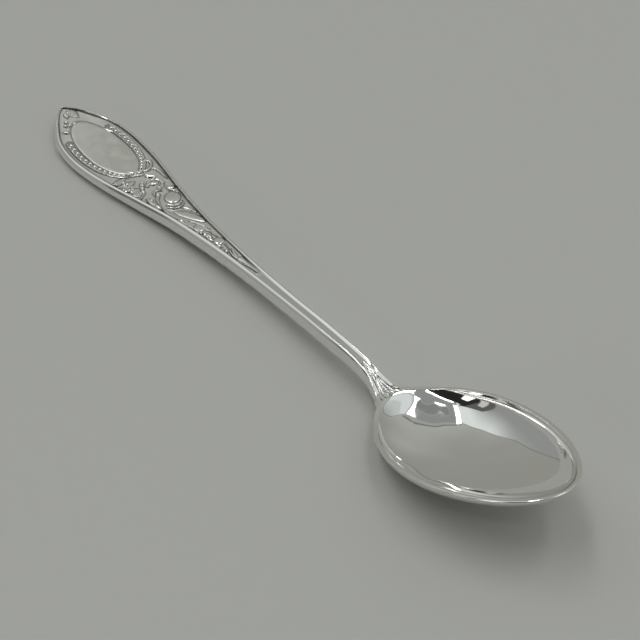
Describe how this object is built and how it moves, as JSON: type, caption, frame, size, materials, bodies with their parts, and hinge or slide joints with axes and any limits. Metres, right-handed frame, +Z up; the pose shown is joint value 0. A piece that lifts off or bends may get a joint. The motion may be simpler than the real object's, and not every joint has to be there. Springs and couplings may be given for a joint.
{
  "type": "teaspoon",
  "caption": "Polished silver teaspoon with an egg-shaped bowl, slim stem and a pointed oval handle end with a raised thread border and floral relief.",
  "frame": {"origin": "middle of the bounding box's base, on the table that the spoon rests on", "axes": "+X from the handle tip to the bowl tip, +Y across the spoon, to the left of someone who looks along +X from the handle to the bowl, +Z up out of the bowl"},
  "size_m": [0.145, 0.0266, 0.0176],
  "materials": {
    "silver": "polished silver, lightly worn"
  },
  "bodies": {
    "root": {"bowl": "silver", "stem": "silver", "handle_plate": "silver", "thread_left": "silver", "thread_right": "silver", "cartouche": "silver", "bead_band_left": "silver", "bead_band_right": "silver", "tip_crest": "silver", "ribbon_tie": "silver", "fan_leaf": "silver", "flower_scrolls": "silver", "scroll_ridge": "silver", "bud_and_calyx": "silver", "long_leaves": "silver", "stem_buds": "silver", "side_leaf": "silver", "v_leaves": "silver", "end_drop": "silver", "shoulder_leaf": "silver"}
  },
  "joints": []
}
